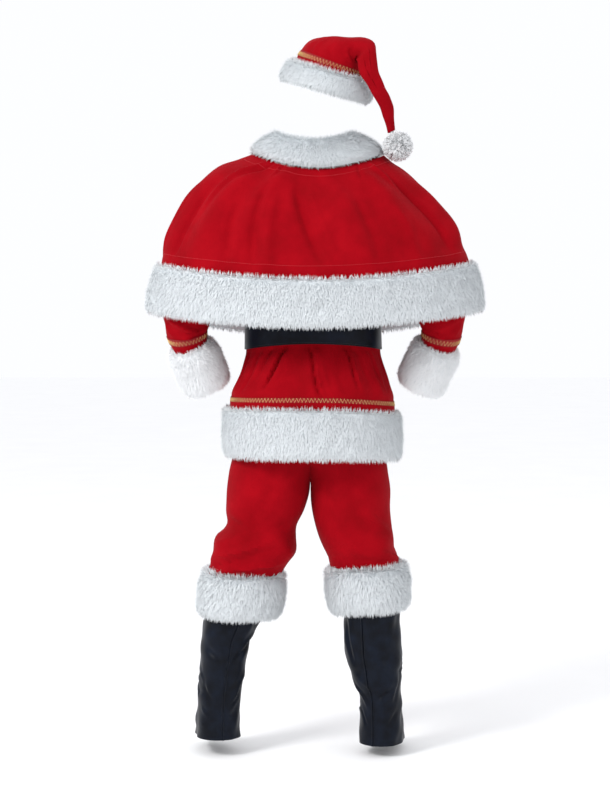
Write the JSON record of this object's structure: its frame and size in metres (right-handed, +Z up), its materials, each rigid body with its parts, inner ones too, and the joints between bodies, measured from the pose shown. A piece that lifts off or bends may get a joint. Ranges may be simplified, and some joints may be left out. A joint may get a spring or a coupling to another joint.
{
  "type": "santa suit",
  "caption": "Worn, hollow Santa suit: red velour jacket, shoulder cape, trousers and hat with white plush and gold braid, black belt and boot covers.",
  "frame": {"origin": "between the wearer's shoulder points, 1.45 m above the floor that the wearer would stand on", "axes": "+Z up, +Y the way the wearer faces, +X to the wearer's right hand"},
  "size_m": [0.8624, 0.4982, 1.7881],
  "materials": {
    "red_velour": "short-pile red velour with a soft sheen",
    "white_plush": "cool white long-pile plush",
    "gold_braid": "gold thread zigzag braid on red",
    "black_leathercloth": "black satin leather cloth",
    "red_elastic": "gathered elastic casing",
    "buckle_metal": "plain brass-plated frame"
  },
  "bodies": {
    "root": {"hat_crown": "red_velour", "hat_band": "white_plush", "hat_braid": "gold_braid", "hat_pompom": "white_plush", "cape_back": "red_velour", "cape_front_left": "red_velour", "cape_front_right": "red_velour", "cape_neck_tab": "red_velour", "cape_collar": "white_plush", "cape_hem_band": "white_plush", "jacket_back": "red_velour", "jacket_front_left": "red_velour", "jacket_front_right": "red_velour", "jacket_closing_strip": "red_velour", "sleeve_left": "red_velour", "sleeve_right": "red_velour", "cuff_left": "white_plush", "cuff_right": "white_plush", "cuff_braid_left": "gold_braid", "cuff_braid_right": "gold_braid", "jacket_hem_braid": "gold_braid", "jacket_hem_band": "white_plush", "belt": "black_leathercloth", "belt_buckle": "buckle_metal", "trouser_front_left": "red_velour", "trouser_back_left": "red_velour", "trouser_front_right": "red_velour", "trouser_back_right": "red_velour", "trouser_waistband": "red_elastic", "leg_band_left": "white_plush", "leg_band_right": "white_plush", "boot_cover_left": "black_leathercloth", "boot_cover_right": "black_leathercloth", "boot_piping_left": "black_leathercloth", "boot_piping_right": "black_leathercloth"}
  },
  "joints": []
}
